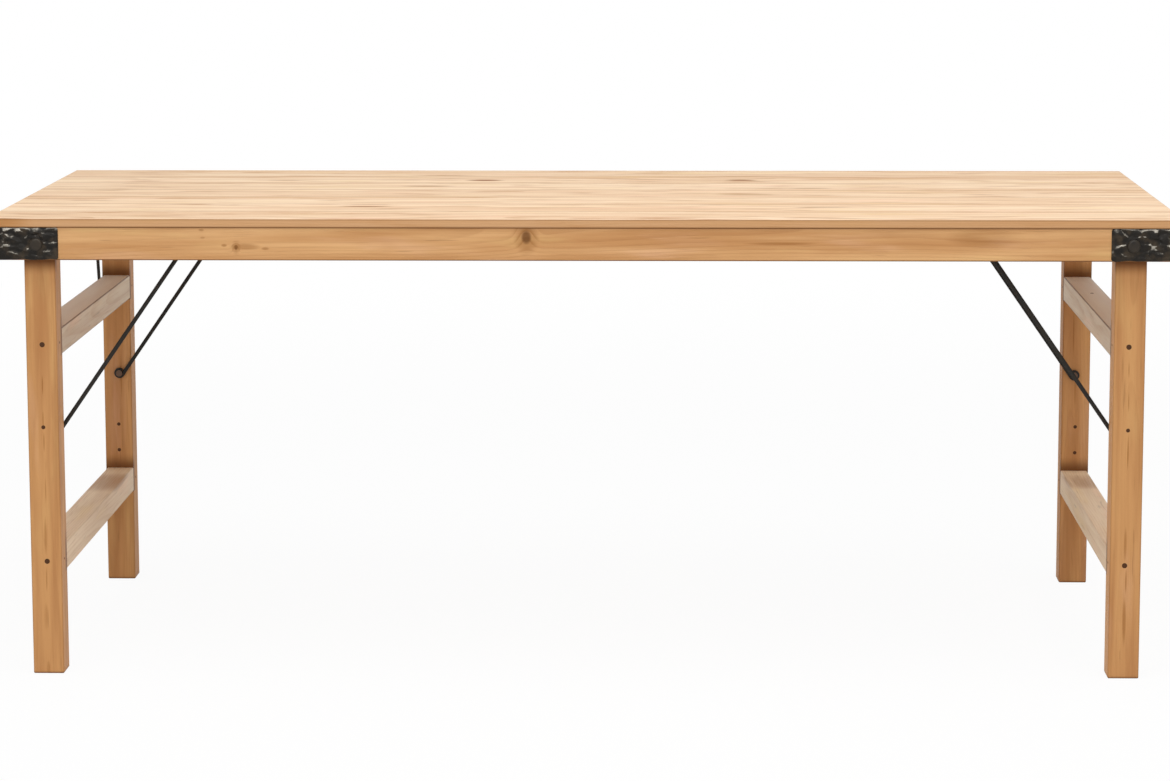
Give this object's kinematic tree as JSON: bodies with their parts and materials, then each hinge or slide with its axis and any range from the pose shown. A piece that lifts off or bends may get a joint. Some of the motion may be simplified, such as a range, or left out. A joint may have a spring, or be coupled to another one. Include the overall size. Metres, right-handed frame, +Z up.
{
  "type": "folding dining table",
  "caption": "Rectangular pine dining table with iron corner brackets, whose end leg frames fold under the top on pivot bolts, held by bent-rod braces and hooks.",
  "frame": {"origin": "on the floor under the middle of the top", "axes": "+X along the top's length, -Y towards the front, +Z up"},
  "size_m": [2, 0.909, 0.785],
  "materials": {
    "top_pine": "pale waxed pine",
    "frame_pine": "honey waxed pine",
    "rail_pine": "dull greyed pine",
    "hammered_iron": "hammered black paint",
    "black_iron": "matte black"
  },
  "bodies": {
    "table": {"top_plank_1": "top_pine", "top_plank_2": "top_pine", "top_plank_3": "top_pine", "top_plank_4": "top_pine", "top_plank_5": "top_pine", "top_plank_6": "top_pine", "top_plank_7": "top_pine", "front_apron": "frame_pine", "back_apron": "frame_pine", "left_end_apron": "frame_pine", "right_end_apron": "frame_pine", "centre_cross_rail": "frame_pine", "brace_cleat_left": "frame_pine", "brace_cleat_right": "frame_pine", "corner_bracket_front_left": "hammered_iron", "pivot_bolt_front_left": "black_iron", "corner_bracket_front_right": "hammered_iron", "pivot_bolt_front_right": "black_iron", "corner_bracket_back_left": "hammered_iron", "pivot_bolt_back_left": "black_iron", "corner_bracket_back_right": "hammered_iron", "pivot_bolt_back_right": "black_iron", "bracket_screws": "black_iron", "pivot_washers": "black_iron", "pivot_nuts": "black_iron", "hook_screws": "black_iron"},
    "leg_frame_left": {"leg_front_left": "frame_pine", "leg_back_left": "frame_pine", "upper_rail_left": "rail_pine", "lower_rail_left": "rail_pine", "rail_screws_left": "black_iron", "ring_screws_left": "black_iron", "hook_stud_left": "black_iron"},
    "brace_frame_left": {"brace_left": "black_iron"},
    "hook_arm_left": {"lock_hook_left": "black_iron"},
    "leg_frame_right": {"leg_front_right": "frame_pine", "leg_back_right": "frame_pine", "upper_rail_right": "rail_pine", "lower_rail_right": "rail_pine", "rail_screws_right": "black_iron", "ring_screws_right": "black_iron", "hook_stud_right": "black_iron"},
    "brace_frame_right": {"brace_right": "black_iron"},
    "hook_arm_right": {"lock_hook_right": "black_iron"}
  },
  "joints": [
    {"name": "leg_fold_left", "type": "hinge", "parent": "table", "child": "leg_frame_left", "pos_m": [-0.916, 0, 0.742], "axis": [0, -1, 0], "range_deg": [0, 85]},
    {"name": "brace_swing_left", "type": "hinge", "parent": "leg_frame_left", "child": "brace_frame_left", "pos_m": [-0.912, 0, 0.403], "axis": [0, -1, 0], "range_deg": [-134, 0]},
    {"name": "hook_swing_left", "type": "hinge", "parent": "table", "child": "hook_arm_left", "pos_m": [-0.9536, 0.2938, 0.7375], "axis": [-1, 0, 0], "range_deg": [0, 80]},
    {"name": "leg_fold_right", "type": "hinge", "parent": "table", "child": "leg_frame_right", "pos_m": [0.916, 0, 0.742], "axis": [0, 1, 0], "range_deg": [0, 85]},
    {"name": "brace_swing_right", "type": "hinge", "parent": "leg_frame_right", "child": "brace_frame_right", "pos_m": [0.912, 0, 0.403], "axis": [0, 1, 0], "range_deg": [-134, 0]},
    {"name": "hook_swing_right", "type": "hinge", "parent": "table", "child": "hook_arm_right", "pos_m": [0.9536, -0.2938, 0.7375], "axis": [1, 0, 0], "range_deg": [0, 80]}
  ],
  "couplings": [
    {"joint": "brace_swing_left", "follows": "leg_fold_left", "ratio": -1.57},
    {"joint": "brace_swing_right", "follows": "leg_fold_right", "ratio": -1.57}
  ]
}
